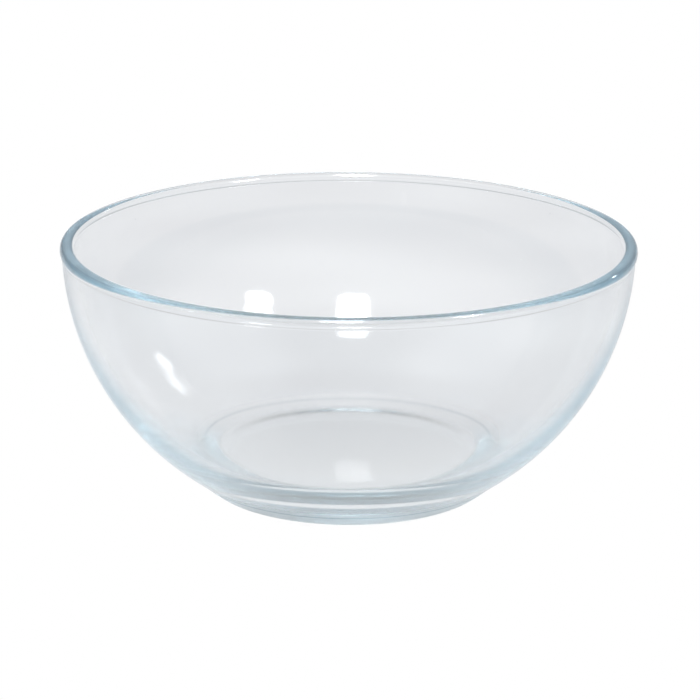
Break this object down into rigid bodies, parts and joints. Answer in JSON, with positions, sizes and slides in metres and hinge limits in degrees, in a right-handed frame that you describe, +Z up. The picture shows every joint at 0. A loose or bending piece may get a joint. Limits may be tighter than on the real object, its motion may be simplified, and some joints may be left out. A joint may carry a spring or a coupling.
{
  "type": "prep bowl",
  "caption": "Deep round clear glass prep bowl with a rounded rim, walls that curve into a thick flat base and a low foot ring to rest on.",
  "frame": {"origin": "centre of the circle that the foot ring rests on, in the resting plane", "axes": "+Z up along the bowl's axis, out of its mouth; X and Y lie in the resting plane and are interchangeable, because the bowl is round"},
  "size_m": [0.205, 0.205, 0.09],
  "materials": {
    "clear_glass": "polished"
  },
  "bodies": {
    "root": {"glass_bowl": "clear_glass"}
  },
  "joints": []
}
